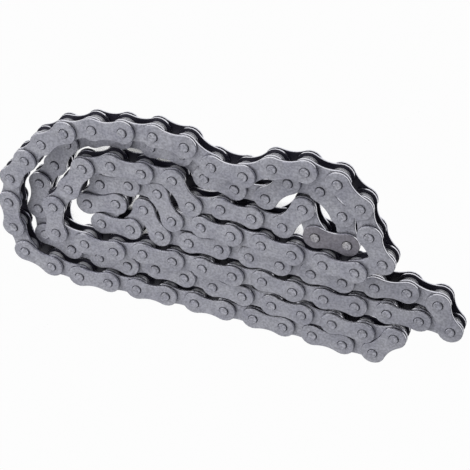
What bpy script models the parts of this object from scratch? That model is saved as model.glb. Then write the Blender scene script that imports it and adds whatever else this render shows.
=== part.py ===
"""A roller chain of 110 links, one of them the connecting link, lying folded in a flat pile.

Lengths are in millimetres until a mesh is made. The chain is a closed loop of pins, pin 0 to
pin 109. Link n runs from pin n to the next one: even links are outer links (two outer plates
riveted on two pins), odd links are inner links (two inner plates, two bushings, two rollers).
"""

import math

import bmesh
import bpy
import numpy as np
from mathutils import Matrix, Vector

MM = 0.001

# The chain: half inch pitch, one eighth inch between its inner plates
PITCH = 12.7
LINKS = 110
INNER_WIDTH = 3.3
PLATE_THICKNESS = 1.15
LOBE_RADIUS = 4.95
WAIST_HALF_HEIGHT = 3.7
PIN_RADIUS = 1.83
ROLLER_RADIUS = 3.875
PIN_PROUD = 0.6
BUSHING_RADIUS = 2.7
BUSHING_BORE = 2.25
ROLLER_BORE = 3.3

# Working gaps between neighbouring pieces
PLATE_GAP = 0.3
ROLLER_SIDE_GAP = 0.25
HOLE_GAP = 0.25

# Sides of every round piece and hole, and the angles of a plate's corners around a pin
SIDES = 6
LOBE_CORNERS = (-90.0, -28.0, 28.0, 90.0)
SMOOTH_BELOW = 65.0

# The connecting link's lower ends: a cover plate, then a spring clip in the pins' grooves
CONNECTING_LINK = 64
CLIP_THICKNESS = 0.8
CLIP_GAP = 0.2
GROOVE_RADIUS = 1.3
GROOVE_LENGTH = 1.2
PIN_HEAD = 0.5
CLIP_HALF_WIDTH = 3.6

# The run whose links swing free, as links in order from the pile to the free end
TOP_RUN = (12, 11, 10, 9, 8, 7, 6, 5, 4, 3, 2)
OPEN_PIN = 2

# The runs that lie still, each as its name, its first link and its last, which may be counted
# on past 109 to the loop's first links
PILE_RUNS = (
    ("second_row_right", 13, 18),
    ("second_row_left", 19, 22),
    ("s_bend", 23, 28),
    ("third_row_left", 29, 34),
    ("third_row_right", 35, 40),
    ("fourth_row_right", 41, 46),
    ("fourth_row_left", 47, 52),
    ("first_row_left", 53, 58),
    ("first_row_right", 59, 63),
    ("low_run_right", 65, 68),
    ("low_run_middle", 69, 74),
    ("low_run_left", 75, 78),
    ("fifth_row_left", 79, 84),
    ("fifth_row_right", 85, 90),
    ("bottom_row_right", 91, 96),
    ("bottom_row_left", 97, 102),
    ("left_end", 103, 108),
    ("left_shoulder", 109, 110),
    ("left_shoulder_end", 111, 111),
)

# Where the pins lie, as (pin, x, y). The pins between two of these lie straight between them
ROUTE = [
    # Top run, from the left end to its fold at the right
    (0, -75, 25), (1, -65, 32), (2, -53, 36), (4, -29, 40), (5, -16, 39), (6, -5, 32), (7, 8, 32),
    (8, 18, 39), (9, 31, 41), (10, 43, 40), (11, 53, 31), (12, 57, 19), (13, 65, 8),
    # Second row, back to the left, and the S that follows it
    (14, 54, 1), (15, 41, 0), (19, -10, 1), (20, -22, 0), (21, -30, 10), (22, -42, 10),
    (23, -54, 7), (24, -60, -4), (25, -48, -1), (26, -54, -13), (27, -41, -12), (28, -35, 0),
    # Third row to the far right end
    (29, -28, -11), (31, -2, -9), (34, 35, -9), (35, 48, -10), (37, 74, -7), (38, 87, -9),
    (39, 93, -21),
    # Fourth row, back to the left, and up its left end
    (40, 80, -19), (44, 29, -20), (45, 16, -19), (46, 4, -20), (48, -22, -20), (50, -47, -21),
    (52, -72, -19), (53, -74, -6), (54, -66, 4), (55, -61, 16),
    # First row to the right, with the connecting link at its end
    (56, -49, 20), (58, -24, 20), (59, -15, 10), (60, -3, 11), (62, 23, 10), (63, 30, 21),
    (64, 36, 9), (65, 49, 9),
    # Low run under the top run, back to the left and down the left end
    (66, 46, 22), (67, 36, 30), (68, 24, 31), (69, 15, 20), (71, -10, 21), (72, -20, 28),
    (74, -46, 28), (75, -58, 25), (76, -69, 20), (77, -75, 8), (78, -83, -3), (79, -84, -16),
    # Fifth row to the right
    (80, -79, -28), (81, -67, -30), (83, -42, -31), (84, -30, -29), (89, 33, -31), (91, 59, -32),
    (92, 72, -30),
    # Bottom row, back to the left, and up the outside of the left end
    (93, 65, -41), (103, -62, -40), (104, -74, -39), (105, -86, -35), (106, -92, -23),
    (107, -92, -10), (108, -90, 3),
]

# How high the pins' lower ends are above the floor, as (pin, height)
HEIGHTS = [
    (0, 9.6), (3, 9.7), (6, 9.0), (9, 11.0), (12, 9.0), (15, 7.0), (18, 5.6), (22, 1.6),
    (25, 0.8), (30, 2.5), (34, 3.2), (38, 0.4), (43, 3.0), (47, 3.0), (51, 6.0), (55, 7.1),
    (60, 3.1), (64, 4.7), (69, 2.8), (74, 0.0), (84, 0.0), (90, 2.6), (96, 0.0), (101, 2.0),
    (105, 5.0),
]
HEIGHT_SMOOTHING = 6

# Least distances between two rows: pin to pin, and pin to the middle of a link. A link that
# swings free keeps the first of them all along. Rows that lie on each other keep only the last
PIN_CLEARANCE = 2 * LOBE_RADIUS + 0.35
WAIST_CLEARANCE = LOBE_RADIUS + WAIST_HALF_HEIGHT + 0.75
ROWS_STACK_AT = 8.9
STACKED_CLEARANCE = 7.4
NEIGHBOURHOOD = 22.0
SETTLING_TURNS = 1500
NORMAL_TURNS = 40
UPRIGHT_PULL = 0.3

# Places in a link, from its middle
PIN_SPOTS = (-PITCH / 2, PITCH / 2)
INNER_PLATE_LOW = INNER_WIDTH / 2
INNER_PLATE_HIGH = INNER_PLATE_LOW + PLATE_THICKNESS
OUTER_PLATE_LOW = INNER_PLATE_HIGH + PLATE_GAP
OUTER_PLATE_HIGH = OUTER_PLATE_LOW + PLATE_THICKNESS
PIN_END = OUTER_PLATE_HIGH + PIN_PROUD
ROLLER_END = INNER_PLATE_LOW - ROLLER_SIDE_GAP
PIN_HOLE = PIN_RADIUS + HOLE_GAP
CLIP_HIGH = -OUTER_PLATE_HIGH - CLIP_GAP
CLIP_LOW = CLIP_HIGH - CLIP_THICKNESS
GROOVE_HIGH = CLIP_HIGH + CLIP_GAP / 2
GROOVE_LOW = GROOVE_HIGH - GROOVE_LENGTH
CONNECTING_PIN_LOW = GROOVE_LOW - PIN_HEAD


def clear_scene():
    for thing in list(bpy.data.objects):
        bpy.data.objects.remove(thing, do_unlink=True)


def steel(name, colour, roughness, metallic):
    material = bpy.data.materials.new(name)
    material.use_nodes = True
    shader = material.node_tree.nodes["Principled BSDF"]
    shader.inputs["Base Color"].default_value = (*colour, 1.0)
    shader.inputs["Roughness"].default_value = roughness
    shader.inputs["Metallic"].default_value = metallic
    return material


# Laying the chain

def at_each_pin(points, column):
    """One value for each pin, straight between the pins that the list names."""
    numbers = [point[0] for point in points] + [points[0][0] + LINKS]
    values = [point[column] for point in points] + [points[0][column]]
    return np.interp(np.arange(LINKS), numbers, values)


def smoothed(values):
    for _ in range(HEIGHT_SMOOTHING):
        values = (np.roll(values, 1) + 2 * values + np.roll(values, -1)) / 4
    return values


def pull_to_pitch(pins):
    """Moves neighbouring pins sideways until they are one pitch apart."""
    step = np.roll(pins, -1, axis=0) - pins
    length = np.linalg.norm(step, axis=1, keepdims=True)
    step *= (length - PITCH) / length / 2
    pins[:, :2] += (step - np.roll(step, 1, axis=0))[:, :2]


def push_apart(pins, one, two, ahead, clearance):
    """Moves pin `one` and the spot `ahead` of pin `two` along its link apart, if they are too close."""
    following = (two + 1) % LINKS
    spot = pins[two] * (1 - ahead) + pins[following] * ahead
    away = pins[one] - spot
    distance = np.linalg.norm(away[:, :2], axis=1)
    stacked = np.abs(away[:, 2]) > ROWS_STACK_AT
    missing = np.maximum(np.where(stacked, STACKED_CLEARANCE, clearance) - distance, 0)
    push = away[:, :2] * (missing / distance / 4)[:, None]
    sideways = [[0, 1]]
    np.add.at(pins, (one[:, None], sideways), push)
    np.add.at(pins, (two[:, None], sideways), -push * (1 - ahead))
    np.add.at(pins, (following[:, None], sideways), -push * ahead)


def lay_pins():
    """The middle of each pin, with an exact pitch and with clearance between the rows."""
    pins = np.stack(
        [at_each_pin(ROUTE, 1), at_each_pin(ROUTE, 2), smoothed(at_each_pin(HEIGHTS, 1))],
        axis=1,
    )
    number = np.arange(LINKS)
    apart = np.abs(number[:, None] - number[None, :])
    apart = np.minimum(apart, LINKS - apart)
    near = np.linalg.norm(pins[:, None, :2] - pins[None, :, :2], axis=2) < NEIGHBOURHOOD
    free = np.isin(number, TOP_RUN)
    free_pair = free[:, None] | free[None, :]
    next_but_one = np.where(apart == 2)
    strangers = np.where((apart > 2) & near)
    nested = np.where((apart > 2) & near & ~free_pair)
    beside_free = np.where((apart > 2) & near & free_pair)
    for _ in range(SETTLING_TURNS):
        pull_to_pitch(pins)
        push_apart(pins, *next_but_one, 0, PIN_CLEARANCE)
        push_apart(pins, *strangers, 0, PIN_CLEARANCE)
        push_apart(pins, *nested, 0.5, WAIST_CLEARANCE)
        push_apart(pins, *beside_free, 0.5, PIN_CLEARANCE)
    return pins


def link_directions(pins):
    """Each link's direction ahead, and the direction that its pins or bushings stand in."""
    ahead = np.roll(pins, -1, axis=0) - pins
    ahead /= np.linalg.norm(ahead, axis=1, keepdims=True)
    up = np.tile([0.0, 0.0, 1.0], (LINKS, 1))
    for _ in range(NORMAL_TURNS):
        up = np.roll(up, 1, axis=0) + np.roll(up, -1, axis=0) + [0.0, 0.0, UPRIGHT_PULL]
        up -= ahead * (up * ahead).sum(axis=1, keepdims=True)
        up /= np.linalg.norm(up, axis=1, keepdims=True)
    return ahead, up


def frame(origin, ahead, up):
    """A matrix with its X axis along `ahead` and its Z axis along `up`."""
    across = np.cross(up, ahead)
    across /= np.linalg.norm(across)
    ahead = np.cross(across, up)
    rows = np.stack([ahead, across, up, origin], axis=1).tolist()
    return Matrix(rows + [[0.0, 0.0, 0.0, 1.0]])


def place_links(pins):
    """Each link's place: its middle, with X ahead along the link and Z along its pins."""
    ahead, up = link_directions(pins)
    middles = (pins + np.roll(pins, -1, axis=0)) / 2
    return [frame(middles[n], ahead[n], up[n]) for n in range(LINKS)]


def stand_on_origin(pins):
    """Moves the pins so that the whole chain stands on the floor with its middle at the origin."""
    corners = []
    for link, place in enumerate(place_links(pins)):
        flat = [(plate_outline(), INNER_PLATE_HIGH)]
        if link % 2 == 0:
            ends = [spot for x in PIN_SPOTS for spot in circle(x, PIN_RADIUS)]
            flat = [(plate_outline(), OUTER_PLATE_HIGH), (ends, PIN_END)]
        for outline, height in flat:
            corners += [place @ Vector((x, y, z)) for x, y in outline for z in (-height, height)]
    low, high = np.min(corners, axis=0), np.max(corners, axis=0)
    return pins - [(low[0] + high[0]) / 2, (low[1] + high[1]) / 2, low[2]]


# Shapes, all around the middle of a link

def circle(x, radius):
    angles = [2 * math.pi * n / SIDES for n in range(SIDES)]
    return [(x + radius * math.cos(a), radius * math.sin(a)) for a in angles]


def plate_outline():
    """A plate seen flat: a lobe around each pin and a waist between them."""
    outline = []
    for side in (1, -1):
        for angle in LOBE_CORNERS:
            a = math.radians(angle)
            x = PITCH / 2 + LOBE_RADIUS * math.cos(a)
            outline.append((side * x, side * LOBE_RADIUS * math.sin(a)))
        outline.append((0.0, side * WAIST_HALF_HEIGHT))
    return outline


def mesh_of(bm):
    """A mesh of one closed solid, with its faces turned outwards."""
    bmesh.ops.recalc_face_normals(bm, faces=bm.faces[:])
    mesh = bpy.data.meshes.new("shape")
    bm.to_mesh(mesh)
    bm.free()
    return mesh


def prism(loops, low, high):
    """A closed solid between two heights. The first loop is its outline, the others are holes."""
    bm = bmesh.new()
    for loop in loops:
        corners = [bm.verts.new((x, y, low)) for x, y in loop]
        for n, corner in enumerate(corners):
            bm.edges.new((corners[n - 1], corner))
    bmesh.ops.triangle_fill(bm, edges=bm.edges[:], use_beauty=True)
    raised = bmesh.ops.extrude_face_region(bm, geom=bm.faces[:])["geom"]
    top = [v for v in raised if isinstance(v, bmesh.types.BMVert)]
    bmesh.ops.translate(bm, verts=top, vec=(0.0, 0.0, high - low))
    return mesh_of(bm)


def turned(profile):
    """A closed solid turned around the upright axis, from (height, radius) pairs going up."""
    bm = bmesh.new()
    rings = []
    for height, radius in profile:
        rings.append([bm.verts.new((*spot, height)) for spot in circle(0.0, radius)])
    for below, above in zip(rings, rings[1:]):
        for n in range(SIDES):
            bm.faces.new((below[n - 1], below[n], above[n], above[n - 1]))
    bm.faces.new(rings[0])
    bm.faces.new(rings[-1])
    return mesh_of(bm)


def fused(shapes, cutters=()):
    """One closed mesh: the union of some closed ones, less the cutters."""
    scene = bpy.context.scene.collection
    whole = bpy.data.objects.new("whole", shapes[0])
    scene.objects.link(whole)
    helpers = [whole]
    for operation, others in (("UNION", shapes[1:]), ("DIFFERENCE", cutters)):
        if not others:
            continue
        group = bpy.data.collections.new(operation)
        scene.children.link(group)
        for other in others:
            helper = bpy.data.objects.new("helper", other)
            group.objects.link(helper)
            helpers.append(helper)
        boolean = whole.modifiers.new(operation, "BOOLEAN")
        boolean.operation = operation
        boolean.solver = "EXACT"
        boolean.operand_type = "COLLECTION"
        boolean.collection = group
    graph = bpy.context.evaluated_depsgraph_get()
    mesh = bpy.data.meshes.new_from_object(whole.evaluated_get(graph))
    for helper in helpers:
        shape = helper.data
        bpy.data.objects.remove(helper)
        if not shape.users:
            bpy.data.meshes.remove(shape)
    for group in list(scene.children):
        bpy.data.collections.remove(group)
    return mesh


def moved(mesh, place):
    copy = mesh.copy()
    copy.transform(place)
    return copy


def plate(hole, low, high):
    """A plate with its two holes, or a whole one where `hole` is 0."""
    holes = [circle(x, hole) for x in PIN_SPOTS] if hole else []
    return prism([plate_outline()] + holes, low, high)


def both_plates(low, high):
    return [plate(0, low, high), plate(0, -high, -low)]


def post(x, radius, end):
    return prism([circle(x, radius)], -end, end)


def riveted_outer_link():
    """Two outer plates with two pins riveted in them, as one body."""
    pins = [post(x, PIN_RADIUS, PIN_END) for x in PIN_SPOTS]
    return fused(both_plates(OUTER_PLATE_LOW, OUTER_PLATE_HIGH) + pins)


def pressed_inner_link(column_radius, bored):
    """Two inner plates on two columns, as one body, bored for a pin at the ends that `bored` lists."""
    halfway = (INNER_PLATE_LOW + INNER_PLATE_HIGH) / 2
    columns = [post(x, column_radius, halfway) for x in PIN_SPOTS]
    bores = [post(x, BUSHING_BORE, PIN_END) for x in bored]
    return fused(both_plates(INNER_PLATE_LOW, INNER_PLATE_HIGH) + columns, bores)


def roller():
    return prism([circle(0.0, ROLLER_RADIUS), circle(0.0, ROLLER_BORE)], -ROLLER_END, ROLLER_END)


def connecting_pin():
    """A pin with a groove near its lower end, where the spring clip snaps on."""
    profile = [
        (CONNECTING_PIN_LOW, PIN_RADIUS),
        (GROOVE_LOW, PIN_RADIUS),
        (GROOVE_LOW, GROOVE_RADIUS),
        (GROOVE_HIGH, GROOVE_RADIUS),
        (GROOVE_HIGH, PIN_RADIUS),
        (PIN_END, PIN_RADIUS),
    ]
    return turned(profile)


def spring_clip():
    """A flat clip: closed around one pin's groove, with two prongs that pass the other pin's."""
    slot = GROOVE_RADIUS + HOLE_GAP
    eye = PITCH / 2
    tip = PITCH / 2 + slot
    half = [
        (-eye - CLIP_HALF_WIDTH * 0.8, CLIP_HALF_WIDTH * 0.55),
        (-eye, CLIP_HALF_WIDTH),
        (tip, CLIP_HALF_WIDTH * 0.9),
        (tip, slot),
        (0.0, slot),
    ]
    outline = half + [(x, -y) for x, y in reversed(half)]
    return prism([outline, circle(-eye, slot)], CLIP_LOW, CLIP_HIGH)


# Objects

def add_object(name, mesh, material, place, parent=None):
    """A named object with its shape in metres. `place` is where it stands in its parent."""
    if not mesh.materials:
        mesh.transform(Matrix.Scale(MM, 4))
        mesh.shade_smooth()
        mesh.set_sharp_from_angle(angle=math.radians(SMOOTH_BELOW))
        mesh.materials.append(material)
        mesh.name = name
    thing = bpy.data.objects.new(name, mesh)
    bpy.context.scene.collection.objects.link(thing)
    thing.parent = parent
    thing.matrix_basis = metres(place)
    return thing


def metres(place):
    """The same placement with its origin in metres."""
    moved_place = place.copy()
    moved_place.translation *= MM
    return moved_place


class Pivot:
    """A pivot of the free run: its place, and an empty there whose Z axis is the pin's axis."""

    def __init__(self, name, place, before):
        self.place = place
        self.empty = bpy.data.objects.new(name, None)
        self.empty.empty_display_size = PITCH / 2 * MM
        bpy.context.scene.collection.objects.link(self.empty)
        local = metres(place)
        if before is not None:
            self.empty.parent = before.empty
            local = metres(before.place).inverted() @ local
        self.empty.matrix_basis = local


def add_open_link(label, place, parent, materials):
    """The free run's last link, in separate pieces: the pin at the open joint is cut back."""
    shared_pin = PIN_SPOTS[1]
    stub = [circle(0.0, PIN_RADIUS)]
    pieces = (
        ("upper_outer_plate", plate(PIN_HOLE, OUTER_PLATE_LOW, OUTER_PLATE_HIGH), 0.0, "outer_link"),
        ("lower_outer_plate", plate(PIN_HOLE, -OUTER_PLATE_HIGH, -OUTER_PLATE_LOW), 0.0, "outer_link"),
        ("pin", post(0.0, PIN_RADIUS, PIN_END), shared_pin, "pin"),
        ("upper_pin_end", prism(stub, OUTER_PLATE_LOW, PIN_END), -shared_pin, "pin"),
        ("lower_pin_end", prism(stub, -PIN_END, -OUTER_PLATE_LOW), -shared_pin, "pin"),
    )
    for piece, mesh, x, kind in pieces:
        spot = place @ Matrix.Translation((x, 0.0, 0.0))
        add_object(f"{label}_{piece}", mesh, materials[kind], spot, parent)


def pivot_place(pin, pins, places):
    """A place on a pin's axis. The pin stands in the outer link beside it."""
    turned_to = places[pin if pin % 2 == 0 else pin - 1].copy()
    turned_to.translation = pins[pin]
    return turned_to


def add_free_run(pins, places, materials, shapes):
    """Single links in a row, each turning on the pin that joins it to the one before."""
    before = None
    for count, link in enumerate(TOP_RUN, start=1):
        label = f"top_run_{count:02d}"
        axis = pivot_place(link + 1, pins, places)
        pivot = Pivot(label + "_pivot", axis, before)
        place = axis.inverted() @ places[link]
        if link == OPEN_PIN:
            add_open_link(label, place, pivot.empty, materials)
        else:
            kind = "outer_link" if link % 2 == 0 else "inner_link"
            add_object(f"{label}_{kind}", shapes[kind], materials[kind], place, pivot.empty)
        if link % 2:
            for end, x in zip(("near", "far"), reversed(PIN_SPOTS)):
                spot = place @ Matrix.Translation((x, 0.0, 0.0))
                name_there = f"{label}_{end}_roller"
                add_object(name_there, shapes["roller"], materials["roller"], spot, pivot.empty)
        before = pivot


def add_pile(places, materials):
    """The runs that their neighbours hold still, each joined into one body.

    An inner link at the end of a run is bored there for the next run's pin.
    """
    outer = riveted_outer_link()
    inner = {
        bored: pressed_inner_link(ROLLER_RADIUS, bored)
        for bored in ((), PIN_SPOTS[:1], PIN_SPOTS[1:], PIN_SPOTS)
    }
    for name, first, last in PILE_RUNS:
        shapes = []
        for link in range(first, last + 1):
            bored = PIN_SPOTS[:1] if link == first else ()
            if link == last:
                bored += PIN_SPOTS[1:]
            shape = outer if link % 2 == 0 else inner[bored]
            shapes.append(moved(shape, places[link % LINKS]))
        add_object("pile_" + name, fused(shapes), materials["pile"], Matrix())
    for shape in [outer] + list(inner.values()):
        bpy.data.meshes.remove(shape)


def add_connecting_link(place, materials):
    """The link that a mechanic opens: a plate riveted on two pins, a cover plate and a clip."""
    pieces = (
        ("base_plate", plate(PIN_HOLE, OUTER_PLATE_LOW, OUTER_PLATE_HIGH), 0.0),
        ("cover_plate", plate(PIN_HOLE, -OUTER_PLATE_HIGH, -OUTER_PLATE_LOW), 0.0),
        ("left_pin", connecting_pin(), PIN_SPOTS[0]),
        ("right_pin", connecting_pin(), PIN_SPOTS[1]),
        ("spring_clip", spring_clip(), 0.0),
    )
    for piece, mesh, x in pieces:
        name = "connecting_link_" + piece
        spot = place @ Matrix.Translation((x, 0.0, 0.0))
        add_object(name, mesh, materials[name], spot)


def make_materials():
    """One steel for each kind of piece, from its colour, roughness and metallic value."""
    return {
        name: steel(name + "_steel", colour, roughness, metallic)
        for name, colour, roughness, metallic in (
            ("pile", (0.32, 0.32, 0.35), 0.5, 0.8),
            ("outer_link", (0.33, 0.33, 0.36), 0.5, 0.8),
            ("inner_link", (0.31, 0.31, 0.34), 0.5, 0.8),
            ("pin", (0.36, 0.36, 0.38), 0.45, 0.85),
            ("roller", (0.45, 0.44, 0.50), 0.35, 0.9),
            ("connecting_link_base_plate", (0.17, 0.16, 0.17), 0.55, 0.75),
            ("connecting_link_cover_plate", (0.17, 0.16, 0.17), 0.55, 0.75),
            ("connecting_link_left_pin", (0.42, 0.42, 0.43), 0.4, 0.85),
            ("connecting_link_right_pin", (0.42, 0.42, 0.43), 0.4, 0.85),
            ("connecting_link_spring_clip", (0.50, 0.49, 0.48), 0.35, 0.9),
        )
    }


def main():
    clear_scene()
    materials = make_materials()
    pins = stand_on_origin(lay_pins())
    places = place_links(pins)
    shapes = {
        "outer_link": riveted_outer_link(),
        "inner_link": pressed_inner_link(BUSHING_RADIUS, PIN_SPOTS),
        "roller": roller(),
    }
    add_pile(places, materials)
    add_connecting_link(places[CONNECTING_LINK], materials)
    add_free_run(pins, places, materials, shapes)


main()
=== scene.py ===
"""A half-inch roller chain lying folded in a flat pile, dressed around its fixed frame.

The frame says where every link lies. This file lays the same route again, models each kind of
piece once, and puts a copy of it at each of its places: plates, pins, bushings and rollers.
"""

import math

import bmesh
import bpy
import numpy as np
from mathutils import Euler, Matrix, Vector


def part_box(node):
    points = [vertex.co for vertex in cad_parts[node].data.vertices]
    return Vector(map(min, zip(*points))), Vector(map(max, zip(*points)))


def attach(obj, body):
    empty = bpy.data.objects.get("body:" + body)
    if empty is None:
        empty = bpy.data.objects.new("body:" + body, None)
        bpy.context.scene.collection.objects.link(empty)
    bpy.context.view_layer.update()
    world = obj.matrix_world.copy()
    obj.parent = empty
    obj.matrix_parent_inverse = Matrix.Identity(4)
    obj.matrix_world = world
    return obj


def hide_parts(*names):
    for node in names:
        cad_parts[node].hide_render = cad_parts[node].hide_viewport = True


bl_info = {
    "name": "Folded Roller Chain",
    "version": (1, 0, 0),
    "blender": (4, 5, 0),
    "location": "View3D > Sidebar > Chain",
    "description": "Models every plate, pin, bushing and roller of a folded roller chain",
    "category": "Add Mesh",
}

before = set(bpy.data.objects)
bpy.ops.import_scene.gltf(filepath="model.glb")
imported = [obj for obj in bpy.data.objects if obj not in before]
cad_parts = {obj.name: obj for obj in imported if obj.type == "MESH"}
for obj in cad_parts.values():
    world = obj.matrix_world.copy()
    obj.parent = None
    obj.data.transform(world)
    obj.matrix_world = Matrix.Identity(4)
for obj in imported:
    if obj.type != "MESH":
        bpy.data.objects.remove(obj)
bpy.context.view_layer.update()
MM = 0.001

# The chain's layout, in millimetres, as the frame's own source has it
PITCH = 12.7
LINKS = 110
LOBE_RADIUS = 4.95
WAIST_HALF_HEIGHT = 3.7
CONNECTING_LINK = 64
TOP_RUN = (12, 11, 10, 9, 8, 7, 6, 5, 4, 3, 2)
OPEN_PIN = 2
# Each run that lies still: its name, its first link and its last, counted on past 109
PILE_RUNS = (
    ("second_row_right", 13, 18),
    ("second_row_left", 19, 22),
    ("s_bend", 23, 28),
    ("third_row_left", 29, 34),
    ("third_row_right", 35, 40),
    ("fourth_row_right", 41, 46),
    ("fourth_row_left", 47, 52),
    ("first_row_left", 53, 58),
    ("first_row_right", 59, 63),
    ("low_run_right", 65, 68),
    ("low_run_middle", 69, 74),
    ("low_run_left", 75, 78),
    ("fifth_row_left", 79, 84),
    ("fifth_row_right", 85, 90),
    ("bottom_row_right", 91, 96),
    ("bottom_row_left", 97, 102),
    ("left_end", 103, 108),
    ("left_shoulder", 109, 110),
    ("left_shoulder_end", 111, 111),
)
# Where the pins lie, as (pin, x, y), straight between these
ROUTE = [
    # Top run, from the left end to its fold at the right
    (0, -75, 25), (1, -65, 32), (2, -53, 36), (4, -29, 40), (5, -16, 39), (6, -5, 32), (7, 8, 32),
    (8, 18, 39), (9, 31, 41), (10, 43, 40), (11, 53, 31), (12, 57, 19), (13, 65, 8),
    # Second row, back to the left, and the S that follows it
    (14, 54, 1), (15, 41, 0), (19, -10, 1), (20, -22, 0), (21, -30, 10), (22, -42, 10),
    (23, -54, 7), (24, -60, -4), (25, -48, -1), (26, -54, -13), (27, -41, -12), (28, -35, 0),
    # Third row to the far right end
    (29, -28, -11), (31, -2, -9), (34, 35, -9), (35, 48, -10), (37, 74, -7), (38, 87, -9),
    (39, 93, -21),
    # Fourth row, back to the left, and up its left end
    (40, 80, -19), (44, 29, -20), (45, 16, -19), (46, 4, -20), (48, -22, -20), (50, -47, -21),
    (52, -72, -19), (53, -74, -6), (54, -66, 4), (55, -61, 16),
    # First row to the right, with the connecting link at its end
    (56, -49, 20), (58, -24, 20), (59, -15, 10), (60, -3, 11), (62, 23, 10), (63, 30, 21),
    (64, 36, 9), (65, 49, 9),
    # Low run under the top run, back to the left and down the left end
    (66, 46, 22), (67, 36, 30), (68, 24, 31), (69, 15, 20), (71, -10, 21), (72, -20, 28),
    (74, -46, 28), (75, -58, 25), (76, -69, 20), (77, -75, 8), (78, -83, -3), (79, -84, -16),
    # Fifth row to the right
    (80, -79, -28), (81, -67, -30), (83, -42, -31), (84, -30, -29), (89, 33, -31), (91, 59, -32),
    (92, 72, -30),
    # Bottom row, back to the left, and up the outside of the left end
    (93, 65, -41), (103, -62, -40), (104, -74, -39), (105, -86, -35), (106, -92, -23),
    (107, -92, -10), (108, -90, 3),
]
# How high the pins' lower ends are above the floor, as (pin, height)
HEIGHTS = [
    (0, 9.6), (3, 9.7), (6, 9.0), (9, 11.0), (12, 9.0), (15, 7.0), (18, 5.6), (22, 1.6),
    (25, 0.8), (30, 2.5), (34, 3.2), (38, 0.4), (43, 3.0), (47, 3.0), (51, 6.0), (55, 7.1),
    (60, 3.1), (64, 4.7), (69, 2.8), (74, 0.0), (84, 0.0), (90, 2.6), (96, 0.0), (101, 2.0),
    (105, 5.0),
]
HEIGHT_SMOOTHING = 6
PIN_CLEARANCE = 2 * LOBE_RADIUS + 0.35
WAIST_CLEARANCE = LOBE_RADIUS + WAIST_HALF_HEIGHT + 0.75
ROWS_STACK_AT = 8.9
STACKED_CLEARANCE = 7.4
NEIGHBOURHOOD = 22.0
SETTLING_TURNS = 1500
NORMAL_TURNS = 40
UPRIGHT_PULL = 0.3

# Sides of the round pieces. Every one of them is repeated about a hundred times
LOBE_SIDES = 20
WAIST_STEPS = 3
PIN_SIDES = 14
BUSHING_SIDES = 12
ROLLER_SIDES = 20
SMOOTH_BELOW = math.radians(38)

# How far apart two coordinates may be that count as the same, in metres
SAME = 1e-6
# A share of the full height or radius that only the outermost corners pass
OUTERMOST = 0.99
# The upward part of the direction of a flat face, at least, and of an upright one, at most
FLAT = 0.95
UPRIGHT = 0.1
# How far out from a hole's middle its own faces reach, as a share of its radius
NEAR_HOLE = 1.3


# Values that a user would change

def length(name, mm, description):
    return bpy.props.FloatProperty(
        name=name, description=description, default=mm * MM, min=0.0, precision=5,
        subtype="DISTANCE", unit="LENGTH",
    )


def linear(code):
    """An sRGB hex colour as linear red, green and blue."""
    values = [int(code[n:n + 2], 16) / 255 for n in (1, 3, 5)]
    return [v / 12.92 if v <= 0.04045 else ((v + 0.055) / 1.055) ** 2.4 for v in values]


def colour(name, code, description):
    return bpy.props.FloatVectorProperty(
        name=name, description=description, default=linear(code), size=3,
        subtype="COLOR", min=0.0, max=1.0,
    )


class ChainSizes(bpy.types.PropertyGroup):
    plate_thickness: length("Plate thickness", 1.15, "Thickness of the inner and outer plates")
    lobe_radius: length("Lobe radius", LOBE_RADIUS, "Radius of a plate's end around its pin")
    waist: length("Waist", WAIST_HALF_HEIGHT, "Half the height of a plate at its middle")
    plate_rim: length("Plate rim", 0.22, "Rounding of the outward edge of a stamped plate")
    torn_wall: length("Torn wall", 0.35, "Height of the rough inward part of a plate's wall")
    inner_width: length("Inner width", 3.3, "Distance between the two inner plates")
    plate_gap: length("Plate gap", 0.3, "Play between an inner and an outer plate")
    pin_radius: length("Pin radius", 1.83, "Radius of a pin")
    pin_proud: length("Pin end", 0.6, "How far a riveted pin stands out of its plate")
    pin_rim: length("Pin rim", 0.16, "Rounding of a pin's end")
    rivet_ring: length("Rivet ring", 0.55, "Width of the spread ring on a riveted pin's end")
    rivet_depth: length("Rivet depth", 0.07, "How deep a pin's end is pressed inside that ring")
    hole_lip: length("Hole lip", 0.28, "Width of the bevel around a pin hole")
    bushing_radius: length("Bushing radius", 2.7, "Outer radius of a bushing")
    bushing_wall: length("Bushing wall", 0.6, "Thickness of a bushing")
    roller_radius: length("Roller radius", 3.875, "Outer radius of a roller")
    roller_wall: length("Roller wall", 1.05, "Thickness of a roller")
    roller_gap: length("Roller gap", 0.12, "Play between a roller and an inner plate")
    roller_rim: length("Roller rim", 0.3, "Rounding of a roller's two edges")
    clip_thickness: length("Clip thickness", 0.8, "Thickness of the spring clip")
    clip_half_width: length("Clip half width", 3.6, "Half the width of the spring clip")
    clip_gap: length("Clip gap", 0.2, "Gap between the cover plate and the spring clip")
    groove_depth: length("Groove depth", 0.53, "Depth of the grooves that hold the spring clip")


class ChainColours(bpy.types.PropertyGroup):
    plate: colour("Plates", "#A4A4AB", "Peened carbon steel plates")
    plate_edge: colour("Plate edges", "#F2F2F8", "Bright cut edges of the plates")
    # The walls' near black is painted shade for the gaps between the plates, over a thin oil film
    wall: colour("Plate walls", "#211F2E", "Torn walls of the plates, with an oil film")
    pin: colour("Pins", "#A2A2A9", "Riveted pin ends")
    roller: colour("Rollers", "#F6F6FC", "Ground and polished rollers")
    # The bushings' dark grey is partly oil and partly painted shade for the gaps they show in
    bushing: colour("Bushings", "#484852", "Bushings, dark with oil")
    blued: colour("Connecting plate", "#827F85", "Blued steel plates of the connecting link")
    clip_pin: colour("Connecting pins", "#A8A6A8", "Pin ends of the connecting link")
    clip: colour("Spring clip", "#A8A4A0", "Hardened spring steel clip")
    # The dark paper shows only in the narrow gaps between the rows, as painted shade there
    floor: colour("Floor", "#484848", "Studio floor where it isn't plain white")


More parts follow.
